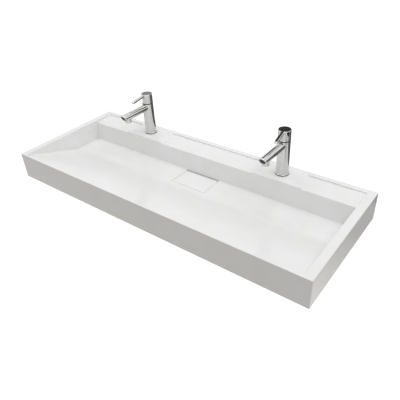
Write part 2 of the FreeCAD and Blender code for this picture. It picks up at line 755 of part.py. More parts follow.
def make_aerator(side):
    """Screwed ring under the spout's nose with a drilled insert resting on its lip."""
    neck_top = f"({AERATOR_FACE} + aerator_neck)"
    lip_top = f"({AERATOR_FOOT} + aerator_lip)"
    turned(f"{side}_aerator_ring", [
        ("aerator_bore - aerator_lip", AERATOR_FOOT),
        ("aerator_radius - aerator_lip", AERATOR_FOOT, "aerator_lip"),
        ("aerator_radius", lip_top),
        ("aerator_radius", AERATOR_FACE),
        ("aerator_neck_radius", AERATOR_FACE),
        ("aerator_neck_radius", neck_top),
        ("aerator_bore", neck_top),
        ("aerator_bore", lip_top),
        ("aerator_bore - aerator_lip", lip_top),
    ])
    insert = turned(f"{side}_aerator_insert", [
        ("0", lip_top),
        ("aerator_bore - fit_gap", lip_top),
        ("aerator_bore - fit_gap", f"{lip_top} + insert_height"),
        ("0", f"{lip_top} + insert_height"),
    ])
    jets = [("0", "0", "jet_radius")]
    for circle in range(1, JET_CIRCLE_COUNT + 1):
        jets += around(f"{circle} * jet_pitch", circle * FIRST_CIRCLE_JET_COUNT, "jet_radius")
    drill(insert, "XY", lip_top, jets, f"insert_height + {OVERRUN}", backwards=True)
    seal_top = f"{neck_top} + aerator_seal"
    ring(f"{side}_aerator_seal", "aerator_bore", "aerator_neck_radius", neck_top, seal_top)
    return ["aerator_ring", "aerator_insert", "aerator_seal"]


def make_cartridge(side):
    """Fixed half of the mixing cartridge: housing, ported ceramic disc, clamping nut and dome."""
    body = turned(f"{side}_cartridge_housing", [
        ("0", CHAMBER_FLOOR),
        ("cartridge_radius", CHAMBER_FLOOR),
        ("cartridge_radius", SEAT_HEIGHT),
        (NUT_FIT, SEAT_HEIGHT),
        (NUT_FIT, CARTRIDGE_TOP),
        ("cartridge_bore", CARTRIDGE_TOP),
        ("cartridge_bore", DISC_SEAT),
        ("0", DISC_SEAT),
    ])
    outlet = ("0", "-outlet_front", "outlet_radius")
    rise = f"chamber_depth - disc_drop + {OVERRUN}"
    drill(body, "XY", CHAMBER_FLOOR, PASSAGES, rise, backwards=True)
    drill(body, "XY", DISC_SEAT, [outlet], "2 * outlet_radius")
    side_outlet = ("0", f"{DISC_SEAT} - 2 * outlet_radius", "outlet_radius")
    drill(body, "XZ", "outlet_front", [side_outlet], "cartridge_radius", backwards=True)

    disc = turned(f"{side}_fixed_disc", [
        ("0", DISC_SEAT),
        ("cartridge_bore - fit_gap", DISC_SEAT),
        ("cartridge_bore - fit_gap", DISC_TOP),
        ("0", DISC_TOP),
    ])
    drill(disc, "XY", DISC_SEAT, [*PASSAGES, outlet], f"disc_height + {OVERRUN}", backwards=True)

    nut_top = "(column_height - dome_foot)"
    ring(f"{side}_cartridge_nut", "nut_inner_radius", NUT_FIT, CARTRIDGE_TOP, nut_top)
    cut_height = "(column_height + dome_radius * cos(dome_cut_angle))"
    cut_radius = "(dome_radius * sin(dome_cut_angle))"
    turned(f"{side}_dome", [
        ("dome_radius - dome_wall", nut_top),
        (NUT_FIT, nut_top),
        (NUT_FIT, "column_height"),
        ("dome_radius", "column_height", "dome_radius"),
        (cut_radius, cut_height),
        (f"{cut_radius} - dome_wall / 2", cut_height),
    ])
    return ["cartridge_housing", "fixed_disc", "cartridge_nut", "dome"]


def make_rotor(side):
    """Turning half of the cartridge: rotor with two ears, pivot pin and sliding ceramic disc."""
    body = turned(f"{side}_rotor", [
        ("0", f"{ROTOR_TOP} - rotor_height"),
        ("cartridge_bore - run_gap", f"{ROTOR_TOP} - rotor_height"),
        ("cartridge_bore - run_gap", ROTOR_TOP),
        ("0", ROTOR_TOP),
    ])
    slot = new_sketch(body, "XY", ROTOR_TOP)
    slot_half = "(arm_radius + ball_clearance)"
    add_rectangle(slot, minus(slot_half), slot_half, minus(f"{STROKE} + {slot_half}"), slot_half)
    pocket(body, slot, f"rotor_height + {OVERRUN}")
    for start in (EAR_INNER, minus(EAR_OUTER)):
        cheek = new_sketch(body, "YZ", start)
        add_rectangle(cheek, "-ear_radius", "ear_radius", f"{ROTOR_TOP} - rotor_sink", "column_height")
        pad(body, cheek, "ear_thickness")
        tip = new_sketch(body, "YZ", start)
        add_circle(tip, "0", "column_height", "ear_radius")
        pad(body, tip, "ear_thickness")
    pin_hole = ("0", "column_height", PIN_HOLE)
    drill(body, "YZ", "0", [pin_hole], f"2 * {EAR_OUTER} + {OVERRUN}", both_ways=True)

    pin = new_body(f"{side}_pivot_pin")
    sketch = new_sketch(pin, "YZ")
    add_circle(sketch, "0", "column_height", "pin_radius")
    pad(pin, sketch, f"2 * {EAR_OUTER}", both_ways=True)

    disc = new_body(f"{side}_moving_disc")
    sketch = new_sketch(disc, "XY", MOVING_FOOT)
    add_circle(sketch, "0", f"{STROKE} / 2", "moving_disc_radius")
    pad(disc, sketch, "moving_disc_height")
    ball_hole = ("0", "0", "ball_radius + ball_clearance")
    drill(disc, "XY", f"{MOVING_FOOT} + moving_disc_height", [ball_hole], "ball_pocket")
    hollow = ("0", f"{STROKE} / 2", "moving_disc_radius - outlet_radius")
    drill(disc, "XY", MOVING_FOOT, [hollow], "mixing_hollow", backwards=True)
    return ["rotor", "pivot_pin", "moving_disc"]


def make_stem(side):
    """Square stem that tilts on the pivot pin; its ball end drives the sliding disc."""
    body = new_body(f"{side}_stem")
    block = new_sketch(body, "XY", "column_height - stem_below_pivot")
    half = "stem_width / 2"
    add_rectangle(block, minus(half), half, minus(half), half)
    pad(body, block, "stem_below_pivot + stem_above_pivot")
    arm = new_sketch(body, "XY", "column_height - ball_drop")
    add_circle(arm, "0", "0", "arm_radius")
    pad(body, arm, "ball_drop - stem_below_pivot")
    ball = body.newObject("PartDesign::AdditiveSphere", f"{body.Name}_ball")
    ball.AttachmentSupport = [(origin_plane(body, "XY"), "")]
    ball.MapMode = "FlatFace"
    ball.setExpression("AttachmentOffset.Base.z", bound("column_height - ball_drop"))
    ball.setExpression("Radius", bound("ball_radius"))
    doc.recompute()
    pin_hole = ("0", "column_height", PIN_HOLE)
    drill(body, "YZ", "0", [pin_hole], f"stem_width + {OVERRUN}", both_ways=True)
    return ["stem"]


def make_handle(side):
    """Hollow cap whose forward lever leaves it level with its top; cut away behind so that it can tilt."""
    body = new_body(f"{side}_handle")
    strap = new_sketch(body, "YZ")
    tip_round = "lever_thickness / 2"
    tip_start = minus(f"lever_reach - {tip_round}")
    add_outline(strap, [
        ("-boss_radius", f"{LEVER_ROOT} - lever_thickness"),
        ("-column_radius", f"{LEVER_ROOT} - lever_thickness"),
        (tip_start, f"{LEVER_TIP} - lever_thickness", f"-{tip_round}"),
        ("-lever_reach", f"{LEVER_TIP} - {tip_round}", f"-{tip_round}"),
        (tip_start, LEVER_TIP),
        ("-column_radius", LEVER_ROOT),
        ("-boss_radius", LEVER_ROOT),
    ])
    pad(body, strap, "lever_width", both_ways=True)
    flank = value("lever_width / 2")
    rounded(body, "lever_edge", lambda edge: abs(abs(edge.CenterOfMass.x) - flank) < SAME)

    crown_half = "(column_radius - cap_round)"
    crown_radius = f"(({crown_half} ^ 2 + cap_crown ^ 2) / (2 * cap_crown))"
    shoulder = f"({HANDLE_TOP} - cap_crown)"
    revolve(body, [
        ("0", BOSS_FOOT),
        ("boss_radius", BOSS_FOOT),
        ("boss_radius", CEILING),
        (CAVITY, CEILING),
        (CAVITY, HANDLE_FOOT),
        ("column_radius", HANDLE_FOOT),
        ("column_radius", f"{shoulder} - cap_round", "cap_round"),
        (crown_half, shoulder, crown_radius),
        ("0", HANDLE_TOP),
    ])
    cove = new_sketch(body, "YZ")
    cove_root = minus("column_radius - handle_wall / 2")
    cove_end = "(column_radius + lever_cove)"
    under = f"({LEVER_ROOT} - lever_thickness - {LEVER_SLOPE} * lever_cove)"
    add_outline(cove, [
        (cove_root, f"{under} + {tip_round}"),
        (cove_root, f"{under} - lever_cove", "cove_radius"),
        (minus(cove_end), f"{under} + seat_gap"),
        (minus(cove_end), f"{under} + {tip_round}"),
    ])
    pad(body, cove, "lever_width - 2 * lever_edge", both_ways=True)
    relief = new_sketch(body, "YZ")
    add_outline(relief, [
        ("0", HANDLE_FOOT),
        (RELIEF_REACH, HANDLE_FOOT),
        (RELIEF_REACH, f"{HANDLE_FOOT} + {RELIEF_REACH} * {RELIEF_TAN}"),
    ])
    pocket(body, relief, f"2 * {RELIEF_REACH}", both_ways=True)
    socket = new_sketch(body, "XY", BOSS_FOOT)
    half = "(stem_width / 2 + fit_gap)"
    add_rectangle(socket, minus(half), half, minus(half), half)
    pocket(body, socket, f"column_height + stem_above_pivot + clear_gap - {BOSS_FOOT}", backwards=True)
    drill(body, "XZ", "0", [("0", GRUB_HEIGHT, "grub_radius + fit_gap")], RELIEF_REACH)
    plug_hole = ("0", GRUB_HEIGHT, "plug_radius + fit_gap")
    drill(body, "XZ", minus(f"({CAVITY} + boss_radius) / 2"), [plug_hole], RELIEF_REACH)

    grub = new_body(f"{side}_grub_screw")
    sketch = new_sketch(grub, "XZ", "-stem_width / 2")
    add_circle(sketch, "0", GRUB_HEIGHT, "grub_radius")
    pad(grub, sketch, "boss_radius - stem_width / 2 - seat_gap", backwards=True)
    plug = new_body(f"{side}_handle_plug")
    sketch = new_sketch(plug, "XZ", minus(CAVITY))
    add_circle(sketch, "0", GRUB_HEIGHT, "plug_radius")
    pad(plug, sketch, "handle_wall - plug_sink", backwards=True)
    return ["handle", "grub_screw", "handle_plug"]


def make_clamp(side):
    """Fixing below the deck: stud, rubber and steel horseshoe washers, and a nut."""
    heights = {"clamp_seal": "-deck_thickness", "clamp_plate": "-(deck_thickness + clamp_seal)"}
    for name, top in heights.items():
        body = new_body(f"{side}_{name}")
        disc = new_sketch(body, "XY", top)
        add_circle(disc, "0", "0", "clamp_radius")
        pad(body, disc, name, backwards=True)
        slot = new_sketch(body, "XY", top)
        add_rectangle(slot, "-clamp_slot / 2", "clamp_slot / 2", "0", f"clamp_radius + {OVERRUN}")
        pocket(body, slot, f"{name} + {OVERRUN}")
        stud_hole = ("0", "-stud_offset", "stud_radius + fit_gap")
        drill(body, "XY", top, [stud_hole], f"{name} + {OVERRUN}")
    stud = doc.addObject("Part::Cylinder", f"{side}_stud")
    stud.Label = f"{side}_stud"
    stud.setExpression("Radius", bound("stud_radius"))
    stud.setExpression("Height", bound("stud_length"))
    parts[stud.Label] = stud
    hex_nut(f"{side}_stud_nut", "clamp_nut_flats", "stud_radius + fit_gap", "clamp_nut_height")
    return list(heights)


def make_tap(side, sign):
    """One complete mixer, set on its platform."""
    x = f"{sign}tap_spacing / 2"
    y = "-tap_setback"
    for name in make_column(side) + make_spout(side) + make_cartridge(side) + make_clamp(side):
        place(parts[f"{side}_{name}"], x, y)
    for name in make_aerator(side):
        place(parts[f"{side}_{name}"], x, minus(f"tap_setback + {AERATOR_REACH}"))
    for name in make_rotor(side) + make_stem(side) + make_handle(side):
        place(parts[f"{side}_{name}"], x, y, turn=f"{side}_lever_angle")
    stud_y = "-(tap_setback + stud_offset)"
    place(parts[f"{side}_stud"], x, stud_y, rise=f"{STUD_HEAD} - stud_length")
    place(parts[f"{side}_stud_nut"], x, stud_y, rise=minus(f"{CLAMP_FOOT} + clamp_nut_height"))


make_basin()
make_bushes()
make_cover()
make_waste()
make_tap("left", "-")
make_tap("right", "")
doc.recompute()

for item in doc.Objects:
    if "Invalid" in item.State or "Error" in item.State:
        raise RuntimeError(f"{item.Label} did not compute: {item.State}")
for label, part in parts.items():
    if part.Shape.isNull() or not part.Shape.isValid() or not part.Shape.Solids:
        raise RuntimeError(f"{label} has no valid solid")

os.makedirs("parts", exist_ok=True)
for label, part in parts.items():
    part.Shape.exportStep(f"parts/{label}.step")
print(f"{len(parts)} sub-parts written")
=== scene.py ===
# %% [markdown]
# # A wall-hung double washbasin with two lever mixers
# The washbasin is one cast slab: a shallow bowl slopes down from the front edge to a flat bottom, and a
# deck behind it carries two chrome mixers on raised platforms. The solids come ready made from the
# imported model. This lesson gives each piece its finish, adds the screw threads and the glide rings that
# the solids leave out, whose black also paints the shade in the joint below each cap, and sets up the
# studio in which the basin is photographed.

# %% Load the imported model
import bpy
import math
from mathutils import Matrix, Vector


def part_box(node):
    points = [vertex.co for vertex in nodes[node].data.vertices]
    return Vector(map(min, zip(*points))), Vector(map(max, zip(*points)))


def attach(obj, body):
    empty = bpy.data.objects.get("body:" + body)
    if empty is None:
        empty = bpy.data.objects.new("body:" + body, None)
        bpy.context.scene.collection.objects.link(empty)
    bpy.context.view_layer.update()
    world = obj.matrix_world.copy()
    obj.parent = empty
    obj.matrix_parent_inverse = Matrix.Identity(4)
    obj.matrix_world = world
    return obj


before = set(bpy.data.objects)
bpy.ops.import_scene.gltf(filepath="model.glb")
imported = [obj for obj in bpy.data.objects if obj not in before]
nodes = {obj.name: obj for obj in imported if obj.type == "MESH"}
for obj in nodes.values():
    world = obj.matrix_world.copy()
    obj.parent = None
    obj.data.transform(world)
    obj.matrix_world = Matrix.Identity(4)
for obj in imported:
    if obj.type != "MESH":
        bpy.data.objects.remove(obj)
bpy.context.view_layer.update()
print(f"{len(nodes)} pieces loaded")

# %% [markdown]
# ## Small helpers for colours and nodes
# Colours are picked as sRGB hex values, as in any paint program, but shaders work with linear light, so
# one function turns one into the other. A second one adds a node, sets it up and links it in one line,
# which keeps the materials below short enough to read.

# %% Colour and node helpers
def linear(hex_colour):
    """Linear RGBA of an sRGB hex colour such as "EEEEED"."""
    channels = [int(hex_colour[at:at + 2], 16) / 255 for at in (0, 2, 4)]
    return [c / 12.92 if c <= 0.04045 else ((c + 0.055) / 1.055) ** 2.4 for c in channels] + [1.0]


def add_node(tree, kind, inputs=None, **settings):
    """Add a node; each input is a constant or the output socket that feeds it."""
    node = tree.nodes.new(kind)
    for name, setting in settings.items():
        setattr(node, name, setting)
    for name, given in (inputs or {}).items():
        if isinstance(given, bpy.types.NodeSocket):
            tree.links.new(given, node.inputs[name])
        else:
            node.inputs[name].default_value = given
    return node


def new_tree(name):
    """An empty material and its node tree."""
    material = bpy.data.materials.new(name)
    material.use_nodes = True
    material.node_tree.nodes.clear()
    return material, material.node_tree


print("white is", [round(c, 3) for c in linear("EEEEED")])

# %% [markdown]
# ## One recipe for most finishes
# Plastic, rubber, brass and ceramic differ in colour and gloss, but all of them vary a little over the
# surface. A flat colour looks like a toy, so a soft noise drifts between two close shades and moves the
# roughness with it, and a fine noise lifts the surface by a few hundredths of a millimetre at most.
# Noise sizes are given in millimetres of the real object. Most of a noise lies near its middle, so the
# shades and the roughness spread over that middle range.

# %% Noise and bump helpers
MM = 0.001  # in metres, Blender's unit
NOISE_MIDDLE = (0.3, 0.7)
SHADE_STOPS = (0.35, 0.65)
PLAIN = (1, 1, 1)


def noise(tree, size_mm, detail=3.0, stretch=PLAIN):
    """Noise on Object coordinates whose blobs are about size_mm wide."""
    place = add_node(tree, "ShaderNodeTexCoord").outputs["Object"]
    if stretch != PLAIN:
        scaled = add_node(tree, "ShaderNodeMapping", {"Vector": place, "Scale": stretch})
        place = scaled.outputs["Vector"]
    settings = {"Vector": place, "Scale": 1 / (size_mm * MM), "Detail": detail}
    return add_node(tree, "ShaderNodeTexNoise", settings).outputs["Fac"]


def between(tree, factor, low, high):
    """Number that follows a noise between two values."""
    spread = {
        "Value": factor,
        "From Min": NOISE_MIDDLE[0],
        "From Max": NOISE_MIDDLE[1],
        "To Min": low,
        "To Max": high,
    }
    return add_node(tree, "ShaderNodeMapRange", spread).outputs["Result"]


def shades(tree, factor, first, second):
    """Colour that follows a noise between two hex colours."""
    ramp = add_node(tree, "ShaderNodeValToRGB", {"Fac": factor})
    for stop, place, colour in zip(ramp.color_ramp.elements, SHADE_STOPS, (first, second)):
        stop.position = place
        stop.color = linear(colour)
    return ramp.outputs["Color"]


def finish(name, first, second, patch_mm, gloss, grain_mm, grain_depth_mm, soft_edge_mm=0,
           stretch=PLAIN, **constants):
    """Material whose shade and roughness drift over patches, with a fine grain on the surface."""
    material, tree = new_tree(name)
    patches = noise(tree, patch_mm)
    grain = noise(tree, grain_mm, detail=2.0, stretch=stretch)
    relief = {"Height": grain, "Distance": grain_depth_mm * MM}
    if soft_edge_mm:
        edge = add_node(tree, "ShaderNodeBevel", {"Radius": soft_edge_mm * MM}, samples=6)
        relief["Normal"] = edge.outputs["Normal"]
    bump = add_node(tree, "ShaderNodeBump", relief)
    surface = {
        "Base Color": shades(tree, patches, first, second),
        "Roughness": between(tree, patches, *gloss),
        "Normal": bump.outputs["Normal"],
    }
    shader = add_node(tree, "ShaderNodeBsdfPrincipled", {**surface, **constants})
    add_node(tree, "ShaderNodeOutputMaterial", {"Surface": shader.outputs["BSDF"]})
    return material


print("finish recipe ready")

# %% [markdown]
# ## Mineral cast with a white gelcoat
# The slab is cast from resin and mineral filler in a polished mould that is first sprayed with gelcoat.
# The gelcoat is a plain white with very faint clouds and a ripple finer than orange peel. The inner
# edges of the bowl are hand rubbed, so a Bevel node rounds the light on them by about a millimetre
# without touching the mesh. Reflection is that of a resin, at an index of 1.5.

# %% Gelcoat
gelcoat = finish(
    "white_gelcoat", "EFEFEF", "ECECEB", patch_mm=60, gloss=(0.13, 0.2),
    grain_mm=1.5, grain_depth_mm=0.004, soft_edge_mm=1.2, IOR=1.5,
)
print("made", gelcoat.name)

# %% [markdown]
# ## Chrome and other metals
# The mixers are brass with a bright chrome plating. Metal has no colour of its own under the shine, so
# Metallic is 1 and the base colour is the tint of the reflection. Fingers dull it in places, so the
# roughness drifts from mirror to slightly soft. The grid is brushed steel, with the grain stretched
# along one direction, and the nut under the waste is plain brass, turned on a lathe.

# %% Metals
chrome = finish(
    "polished_chrome", "D6D6D5", "D0D0CF", patch_mm=18, gloss=(0.035, 0.08),
    grain_mm=6, grain_depth_mm=0.002, Metallic=1.0,
)
brushed_steel = finish(
    "brushed_steel", "BDBEBF", "AEB0B2", patch_mm=6, gloss=(0.25, 0.38),
    grain_mm=0.4, grain_depth_mm=0.01, stretch=(0.05, 1, 1), Metallic=1.0,
)
zinc_steel = finish(
    "zinc_plated_steel", "B9BCBE", "A6AAAE", patch_mm=3, gloss=(0.3, 0.45),
    grain_mm=0.8, grain_depth_mm=0.01, Metallic=1.0,
)
brass = finish(
    "turned_brass", "D8B66A", "C9A355", patch_mm=5, gloss=(0.22, 0.36),
    grain_mm=0.5, grain_depth_mm=0.012, stretch=(1, 1, 0.1), Metallic=1.0,
)
print("made", chrome.name, brushed_steel.name, zinc_steel.name, brass.name)

# %% [markdown]
# ## Plastics, rubber and ceramic
# Most of these sit inside the mixers or below the slab. Rubber is nearly black and dull, moulded
# plastic has a fine even grain, and the sealing discs of the cartridge are dense ground ceramic. The
# plastic part in plain sight is the satin black disc in the slanted end of each spout. Its black is
# painted
# reflection: it stands in for the dark surroundings mirrored in the end of a chrome spout.

# %% Plastics, rubber and ceramic
rubber = finish(
    "black_rubber", "1E1E1F", "262627", patch_mm=8, gloss=(0.6, 0.75),
    grain_mm=0.7, grain_depth_mm=0.03, IOR=1.52,
)
white_plastic = finish(
    "white_plastic", "E4E4E1", "DADAD6", patch_mm=12, gloss=(0.35, 0.48),
    grain_mm=0.6, grain_depth_mm=0.01, IOR=1.49,
)
grey_plastic = finish(
    "grey_plastic", "8B8E90", "808385", patch_mm=6, gloss=(0.35, 0.5),
    grain_mm=0.5, grain_depth_mm=0.01, IOR=1.49,
)
# The nose disc is black as painted reflection: it stands in for the dark reflection in the end of the
# spout.
painted_reflection_plastic = finish(
    "black_plastic_painted_reflection", "1A1A1B", "212122", patch_mm=8, gloss=(0.5, 0.62),
    grain_mm=0.7, grain_depth_mm=0.01, IOR=1.49,
)
dark_plastic = finish(
    "dark_plastic", "3A3C3E", "323436", patch_mm=6, gloss=(0.4, 0.55),
    grain_mm=0.5, grain_depth_mm=0.01, IOR=1.49,
)
ceramic = finish(
    "ground_ceramic", "F0EFEA", "E7E5DE", patch_mm=4, gloss=(0.18, 0.3),
    grain_mm=0.3, grain_depth_mm=0.002, IOR=1.76,
)
print("made", rubber.name, white_plastic.name, grey_plastic.name)
print("made", painted_reflection_plastic.name, dark_plastic.name, ceramic.name)

# %% [markdown]
# ## Give every solid its finish
# The solids keep their own meshes, because their shapes are already right. Only the material slot of
# each one is filled. The mixers are alike, so their pieces are named once and used for both sides.

# %% Finishes by piece
SIDES = ("left", "right")
slab_finish = {
    "basin_body": gelcoat,
    "drain_cover": gelcoat,
    "wall_bushes": white_plastic,
    "cover_pads": rubber,
    "waste_body": chrome,
    "waste_grid": brushed_steel,
    "grid_screw": brushed_steel,
    "waste_upper_seal": rubber,
    "waste_lower_seal": rubber,
    "waste_washer": white_plastic,
    "waste_nut": brass,
}
mixer_finish = {
    "tap_body": chrome,
    "base_ring": chrome,
    # the black band of the base seal under the foot ring is partly painted reflection: it stands in for
    # the dark reflection in the chrome foot
    "base_seal": rubber,
    "spout": chrome,
    # black disc as painted reflection of dark surroundings in the spout's end
    "nose_disc": painted_reflection_plastic,
    "aerator_ring": chrome,
    "aerator_insert": grey_plastic,
    "aerator_seal": rubber,
    "cartridge_housing": white_plastic,
    "fixed_disc": ceramic,
    "cartridge_nut": brass,
    "dome": chrome,
    "rotor": dark_plastic,
    "pivot_pin": zinc_steel,
    "moving_disc": ceramic,
    "stem": brass,
    "handle": chrome,
    "grub_screw": zinc_steel,
    "handle_plug": grey_plastic,
    "clamp_seal": rubber,
    "clamp_plate": zinc_steel,
    "stud": zinc_steel,
    "stud_nut": zinc_steel,
}
finish_of = dict(slab_finish)
for side in SIDES:
    finish_of.update({f"{side}_{piece}": material for piece, material in mixer_finish.items()})
for name, node in nodes.items():
    node.data.materials.clear()
    node.data.materials.append(finish_of[name])
print(f"{len(finish_of)} finishes for {len(nodes)} pieces")

# %% [markdown]
# ## Screw threads
# The tail of the waste and the studs of the mixers are threaded, which the solids leave plain. A thread
# is a ridge that follows a helix, so Geometry Nodes draw it: a Spiral curve with equal radii is swept
# with a small round profile. The same tree makes all three threads from four sizes. The ridge sits half
# in the rod, which leaves the rounded crest that a worn die cuts.

# %% Thread tree
def thread_tree():
    """Geometry Nodes tree that winds a ridge round an upright axis."""
    tree = bpy.data.node_groups.new("thread_ridge", "GeometryNodeTree")
    face = tree.interface
    for name in ("Radius", "Pitch", "Length", "Ridge"):
        face.new_socket(name, in_out="INPUT", socket_type="NodeSocketFloat")
    face.new_socket("Finish", in_out="INPUT", socket_type="NodeSocketMaterial")
    face.new_socket("Geometry", in_out="OUTPUT", socket_type="NodeSocketGeometry")
    given = add_node(tree, "NodeGroupInput").outputs
    division = {0: given["Length"], 1: given["Pitch"]}
    turns = add_node(tree, "ShaderNodeMath", division, operation="DIVIDE").outputs[0]
    helix = add_node(tree, "GeometryNodeCurveSpiral", {
        "Resolution": 48,
        "Rotations": turns,
        "Start Radius": given["Radius"],
        "End Radius": given["Radius"],
        "Height": given["Length"],
    })
    profile = add_node(tree, "GeometryNodeCurvePrimitiveCircle", {
        "Resolution": 6,
        "Radius": given["Ridge"],
    })
    sweep = add_node(tree, "GeometryNodeCurveToMesh", {
        "Curve": helix.outputs["Curve"],
        "Profile Curve": profile.outputs["Curve"],
        "Fill Caps": True,
    })
    real = add_node(tree, "GeometryNodeRealizeInstances", {"Geometry": sweep.outputs["Mesh"]})
    dressed = add_node(tree, "GeometryNodeSetMaterial", {
        "Geometry": real.outputs["Geometry"],
        "Material": given["Finish"],
    })
    add_node(tree, "NodeGroupOutput", {"Geometry": dressed.outputs["Geometry"]})
    return tree


ridge_tree = thread_tree()
print("thread tree with", len(ridge_tree.nodes), "nodes")

# %% [markdown]
# Each thread starts and stops a little short of the rod's free stretch. The modifier's inputs are set by
# their identifiers before the object is looked at for the first time. The result is copied to a plain
# mesh and moved into place there, so the finished piece sits at the origin like the solids.

# %% Wind the threads
TAIL_THREAD = {"Radius": 20.85 * MM, "Pitch": 2.3 * MM, "Ridge": 0.6 * MM}
TAIL_MARGIN = 1 * MM
STUD_THREAD = {"Radius": 3.85 * MM, "Pitch": 1.25 * MM, "Ridge": 0.32 * MM}
STUD_MARGIN = 0.5 * MM


def wind(name, axis, low, high, thread, material):
    """Thread on a rod from height low to high, as a plain mesh piece."""
    holder = bpy.data.objects.new(f"{name}_holder", bpy.data.meshes.new(f"{name}_holder"))
    bpy.context.scene.collection.objects.link(holder)
    modifier = holder.modifiers.new("thread", "NODES")
    modifier.node_group = ridge_tree
    sizes = {**thread, "Length": high - low, "Finish": material}
    for item in ridge_tree.interface.items_tree:
        if item.in_out == "INPUT":
            modifier[item.identifier] = sizes[item.name]
    seen = holder.evaluated_get(bpy.context.evaluated_depsgraph_get())
    mesh = bpy.data.meshes.new_from_object(seen)
    bpy.data.objects.remove(holder)
    mesh.transform(Matrix.Translation((*axis, low)))
    piece = bpy.data.objects.new(name, mesh)
    bpy.context.scene.collection.objects.link(piece)
    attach(piece, "basin")
    print(name, len(mesh.polygons), "faces")
    return piece


def axis_of(low, high):
    """Where the axis of an upright round piece stands, from the corners of its box."""
    return [(a + b) / 2 for a, b in zip(low[:2], high[:2])]


tail_low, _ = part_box("waste_body")
nut_low, nut_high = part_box("waste_nut")
tail_thread = wind("waste_tail_thread", axis_of(nut_low, nut_high), tail_low[2] + TAIL_MARGIN,
                   nut_low[2] - TAIL_MARGIN, TAIL_THREAD, chrome)
for side in SIDES:
    stud_low, stud_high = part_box(f"{side}_stud")
    stud_nut_low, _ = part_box(f"{side}_stud_nut")
    stud_thread = wind(f"{side}_stud_thread", axis_of(stud_low, stud_high), stud_low[2] + STUD_MARGIN,
                       stud_nut_low[2] - STUD_MARGIN, STUD_THREAD, zinc_steel)

# %% [markdown]
# ## Glide rings, black as painted shade
# The cap of a mixer turns on a thin ring at the top of the column. The solids have only a narrow gap
# there. The ring is black rubber, so that it also paints the shade in that joint as a dark line below
# the cap. A ring has four corners in its section and nothing that repeats, so plain mesh code makes it:
# the section is turned about the column's axis in small steps and joined up into a closed band, mostly
# sunk in the column and just proud of it.

# %% Turn the rings
RING_STEPS = 128
RING_SUNK = 0.3 * MM  # into the column
RING_PROUD = 0.2 * MM  # out of the column
RING_FOOT = 2.6 * MM  # below the column's top
RING_HEAD = 0.05 * MM  # below the column's top


def turned_band(name, axis, inner, outer, low, high, material):
    """Closed band of rectangular section round an upright axis."""
    section = [(inner, low), (outer, low), (outer, high), (inner, high)]
    points = []
    for step in range(RING_STEPS):
        turn = 2 * math.pi * step / RING_STEPS
        across = (math.cos(turn), math.sin(turn))
        points += [(axis[0] + r * across[0], axis[1] + r * across[1], z) for r, z in section]
    faces = []
    corners = len(section)
    for step in range(RING_STEPS):
        here = corners * step
        there = corners * ((step + 1) % RING_STEPS)
        for corner in range(corners):
            following = (corner + 1) % corners
            faces.append((here + corner, there + corner, there + following, here + following))
    mesh = bpy.data.meshes.new(name)
    mesh.from_pydata(points, [], faces)
    mesh.materials.append(material)
    band = bpy.data.objects.new(name, mesh)
    bpy.context.scene.collection.objects.link(band)
    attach(band, "basin")
    print(name, len(faces), "faces")
    return band


# The rings are black rubber, and their black also paints the shade in the joint below each cap.
for side in SIDES:
    column_low, column_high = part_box(f"{side}_tap_body")
    column_radius = (column_high[0] - column_low[0]) / 2
    column_top = column_high[2]
    glide_and_shade_ring = turned_band(f"{side}_glide_and_shade_ring", axis_of(column_low, column_high),
                             column_radius - RING_SUNK, column_radius + RING_PROUD,
                             column_top - RING_FOOT, column_top - RING_HEAD, rubber)

# %% [markdown]
# ## Studio floor and light
# The basin hangs on a wall in use, but here it floats over a plain white studio floor that reaches past
# the edges of the picture. Floor and surroundings look plain white to the camera and in the chrome, and
# light the basin much less, so that the white slab keeps its shading. The paper of the floor is a little
# warm, and its bounce tints the sides of the slab, which the photograph shows warmer than the top. One
# wide soft box overhead and to the right does most of the lighting, because the top faces are the
# brightest, and a small one over the left end lifts the inner wall there.

# %% Floor
FLOOR_HEIGHT = -0.85
FLOOR_REACH = 20
FLOOR_GLOW = 0.85  # added only where the floor is seen


def seen_directly(tree):
    """1 for rays that show a surface as it looks: straight, mirrored or through glass."""
    rays = add_node(tree, "ShaderNodeLightPath").outputs
    straight = {0: rays["Is Camera Ray"], 1: rays["Is Glossy Ray"]}
    mirrored = add_node(tree, "ShaderNodeMath", straight, operation="MAXIMUM").outputs[0]
    through = {0: mirrored, 1: rays["Is Transmission Ray"]}
    return add_node(tree, "ShaderNodeMath", through, operation="MAXIMUM").outputs[0]


def panel(name, centre, across, up, material):
    """Flat rectangle for the studio, spanned by two half sides."""
    centre, across, up = Vector(centre), Vector(across), Vector(up)
    corners = [centre - across - up, centre + across - up, centre + across + up, centre - across + up]
    mesh = bpy.data.meshes.new(name)
    mesh.from_pydata(corners, [], [(0, 1, 2, 3)])
    mesh.materials.append(material)
    sheet = bpy.data.objects.new(name, mesh)
    bpy.context.scene.collection.objects.link(sheet)
    return sheet


paper, tree = new_tree("studio_paper")
lit = add_node(tree, "ShaderNodeBsdfDiffuse", {"Color": linear("C2BDB2")}).outputs[0]
shine = {"Color": linear("FFFFFF"), "Strength": FLOOR_GLOW}
glow = add_node(tree, "ShaderNodeEmission", shine).outputs[0]
both = add_node(tree, "ShaderNodeAddShader", {0: lit, 1: glow}).outputs[0]
mixed = add_node(tree, "ShaderNodeMixShader", {0: seen_directly(tree), 1: lit, 2: both})
add_node(tree, "ShaderNodeOutputMaterial", {"Surface": mixed.outputs[0]})
panel("studio_floor", (0, 0, FLOOR_HEIGHT), (FLOOR_REACH, 0, 0), (0, FLOOR_REACH, 0), paper)
print("floor at", FLOOR_HEIGHT)

# %% Surroundings
FILL_LEVEL = 0.52  # for rays that light the basin
SEEN_LEVEL = 1.0  # for rays that show the surroundings

